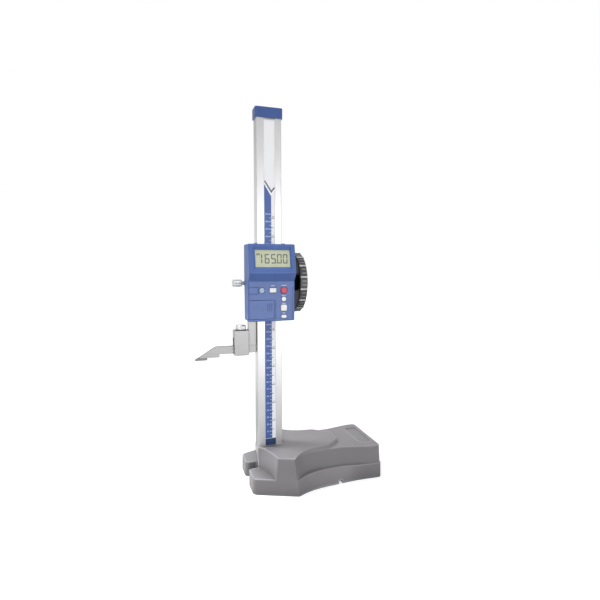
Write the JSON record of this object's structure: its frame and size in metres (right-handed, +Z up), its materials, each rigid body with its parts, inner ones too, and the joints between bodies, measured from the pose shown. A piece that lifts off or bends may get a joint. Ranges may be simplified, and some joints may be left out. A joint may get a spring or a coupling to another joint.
{
  "type": "height gauge",
  "caption": "Digital height gauge: cast base, scale column, slider head with display, rack-drive handwheel and clamped scriber.",
  "frame": {"origin": "point of the base's ground underside that lies on the column's middle line", "axes": "+Z up along the column; -X towards the scriber's tip, +X the base's tail; -Y the side with the display and the scale"},
  "size_m": [0.2543, 0.1312, 0.5099],
  "materials": {
    "cast_base": "hammer-grey enamel, satin",
    "ground_steel": "ground satin steel",
    "turned_steel": "turned steel, fine satin",
    "screw_steel": "blackened steel screws",
    "bright_screws": "zinc plated",
    "carbide": "ground hard metal",
    "frame_alloy": "bead blasted",
    "bronze": "sintered bronze",
    "brass": "milled brass",
    "blue_housing": "fine satin moulding",
    "blue_cap": "satin moulding",
    "black_wheel": "moulded phenolic",
    "printed_scale": "printed film",
    "circuit": "solder mask",
    "key_mat": "silicone rubber",
    "key_white": "moulded",
    "key_red": "moulded",
    "key_grey": "moulded",
    "window_glass": "clear",
    "lcd": "grey-green liquid crystal",
    "cell_steel": "nickel plated",
    "black_plastic": "moulded"
  },
  "bodies": {
    "root": {"base_casting": "cast_base", "column": "ground_steel", "column_fixing_screws": "screw_steel", "capacitive_strip": "circuit", "scale_label": "printed_scale", "gear_rack": "turned_steel", "rack_screws": "screw_steel", "column_cap": "blue_cap"},
    "slider": {"slider_frame": "frame_alloy", "gib_strip": "brass", "gib_screws": "screw_steel", "sensor_board": "circuit", "lock_pad": "brass", "shaft_bushes": "bronze", "front_housing": "blue_housing", "housing_screws": "screw_steel", "rear_cover": "blue_housing", "cover_screws": "screw_steel", "lcd_window": "window_glass", "lcd_panel": "lcd", "circuit_board": "circuit", "board_screws": "screw_steel", "keypad_mat": "key_mat", "battery_cell": "cell_steel", "cell_holder": "black_plastic", "battery_contacts": "cell_steel", "data_port_socket": "black_plastic", "measuring_arm": "turned_steel", "jaw_screws": "screw_steel"},
    "handwheel": {"handwheel": "black_wheel", "pinion_shaft": "turned_steel", "retaining_ring": "screw_steel", "wheel_screw": "turned_steel"},
    "lock_screw": {"lock_screw": "turned_steel"},
    "scriber_clamp": {"scriber_clamp": "turned_steel"},
    "clamp_screw": {"clamp_screw": "turned_steel"},
    "scriber": {"scriber": "turned_steel", "carbide_tip": "carbide"},
    "battery_door": {"battery_door": "blue_housing"},
    "port_cover": {"port_cover": "blue_housing"},
    "preset_key": {"preset_key": "key_grey"},
    "unit_key": {"unit_key": "key_white"},
    "power_key": {"power_key": "key_red"},
    "hold_key": {"hold_key": "key_white"},
    "zero_key": {"zero_key": "key_white"},
    "mode_key": {"mode_key": "key_white"}
  },
  "joints": [
    {"name": "slider_travel", "type": "slide", "parent": "root", "child": "slider", "axis": [0, 0, 1], "range_m": [-0.174, 0.126]},
    {"name": "handwheel_turn", "type": "hinge", "parent": "slider", "child": "handwheel", "pos_m": [0.04, 0.016, 0.2767], "axis": [1, 0, 0], "range_deg": [-1250, 905]},
    {"name": "lock_turn", "type": "hinge", "parent": "slider", "child": "lock_screw", "pos_m": [-0.036, 0, 0.2767], "axis": [1, 0, 0], "range_deg": [-180, 120]},
    {"name": "clamp_slide", "type": "slide", "parent": "slider", "child": "scriber_clamp", "axis": [1, 0, 0], "range_m": [-0.008, 0]},
    {"name": "clamp_screw_turn", "type": "hinge", "parent": "scriber_clamp", "child": "clamp_screw", "pos_m": [-0.0388, 0, 0.213], "axis": [0, 0, 1], "range_deg": [-90, 360]},
    {"name": "scriber_slide", "type": "slide", "parent": "slider", "child": "scriber", "axis": [1, 0, 0], "range_m": [-0.02, 0]},
    {"name": "battery_door_slide", "type": "slide", "parent": "slider", "child": "battery_door", "axis": [-1, 0, 0], "range_m": [0, 0.03]},
    {"name": "port_cover_slide", "type": "slide", "parent": "slider", "child": "port_cover", "axis": [-1, 0, 0], "range_m": [0, 0.01]},
    {"name": "preset_key_press", "type": "slide", "parent": "slider", "child": "preset_key", "axis": [0, 1, 0], "range_m": [0, 0.0008], "stiffness_N_per_m": 400},
    {"name": "unit_key_press", "type": "slide", "parent": "slider", "child": "unit_key", "axis": [0, 1, 0], "range_m": [0, 0.0008], "stiffness_N_per_m": 400},
    {"name": "power_key_press", "type": "slide", "parent": "slider", "child": "power_key", "axis": [0, 1, 0], "range_m": [0, 0.0008], "stiffness_N_per_m": 400},
    {"name": "hold_key_press", "type": "slide", "parent": "slider", "child": "hold_key", "axis": [0, 1, 0], "range_m": [0, 0.0008], "stiffness_N_per_m": 400},
    {"name": "zero_key_press", "type": "slide", "parent": "slider", "child": "zero_key", "axis": [0, 1, 0], "range_m": [0, 0.0008], "stiffness_N_per_m": 400},
    {"name": "mode_key_press", "type": "slide", "parent": "slider", "child": "mode_key", "axis": [0, 1, 0], "range_m": [0, 0.0008], "stiffness_N_per_m": 400}
  ],
  "couplings": [
    {"joint": "handwheel_turn", "follows": "slider_travel", "rad_per_m": 125}
  ]
}
